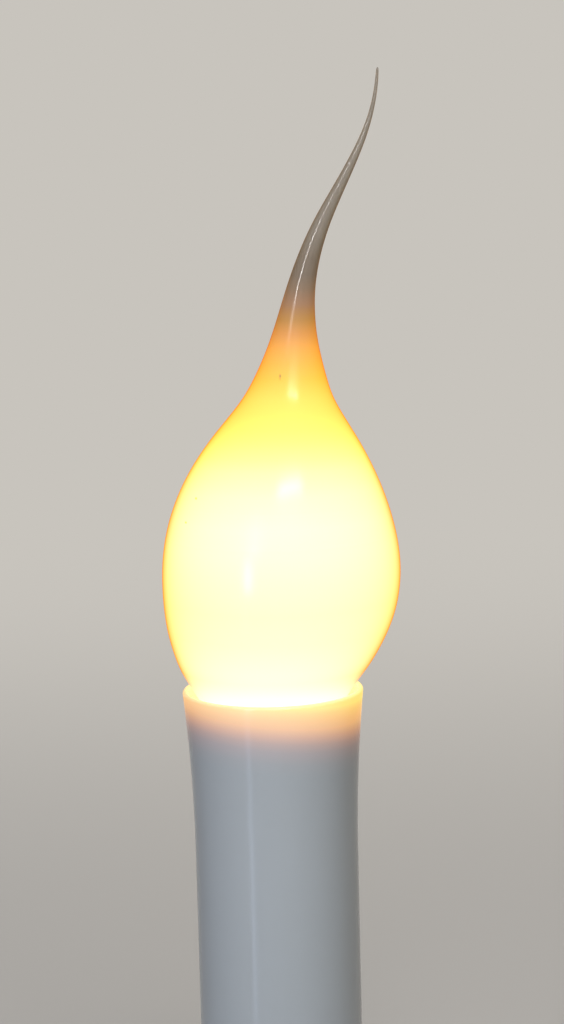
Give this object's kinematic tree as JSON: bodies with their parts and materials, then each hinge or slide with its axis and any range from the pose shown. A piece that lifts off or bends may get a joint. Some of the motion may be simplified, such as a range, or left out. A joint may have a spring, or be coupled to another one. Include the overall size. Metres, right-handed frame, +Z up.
{
  "type": "candle bulb in candle-tube lamp holder",
  "caption": "Flame-shaped silicone-dipped candelabra bulb with a curled tip, screwed into a lamp holder inside a flared white candle tube.",
  "frame": {"origin": "on the tube's axis, in the plane of the tube's foot and of the bracket's tapped hub", "axes": "+Z up along the tube's axis towards the flame; the flame's tip curls towards +X; the picture looks along +Y"},
  "size_m": [0.0319, 0.032, 0.1842],
  "materials": {
    "silicone": "gloss",
    "nickel_plate": "satin",
    "black_glass": "gloss",
    "solder": "satin",
    "white_plastic": "gloss",
    "phenolic": "satin",
    "brass_sheet": "satin",
    "fibre": "matte",
    "zinc_plate": "satin"
  },
  "bodies": {
    "holder": {"candle_tube": "white_plastic", "socket_body": "phenolic", "screw_shell": "brass_sheet", "insulating_disc": "fibre", "center_contact": "brass_sheet", "contact_rivet": "brass_sheet", "shell_rivet": "brass_sheet", "contact_terminal": "brass_sheet", "shell_terminal": "brass_sheet", "contact_terminal_screw": "zinc_plate", "shell_terminal_screw": "zinc_plate", "bracket": "zinc_plate", "bracket_screws": "zinc_plate"},
    "contact_rise": {"cap_contact": "solder"},
    "bulb": {"flame_envelope": "silicone", "cap_shell": "nickel_plate", "cap_insulator": "black_glass", "side_solder": "solder"}
  },
  "joints": [
    {"name": "bulb_rise", "type": "slide", "parent": "holder", "child": "contact_rise", "axis": [0, 0, 1], "range_m": [0, 0.00875]},
    {"name": "bulb_turn", "type": "hinge", "parent": "contact_rise", "child": "bulb", "pos_m": [0, 0, 0.0926], "axis": [0, 0, 1], "range_deg": [0, 1240]}
  ],
  "couplings": [
    {"joint": "bulb_rise", "follows": "bulb_turn", "m_per_rad": 0.00040425}
  ]
}
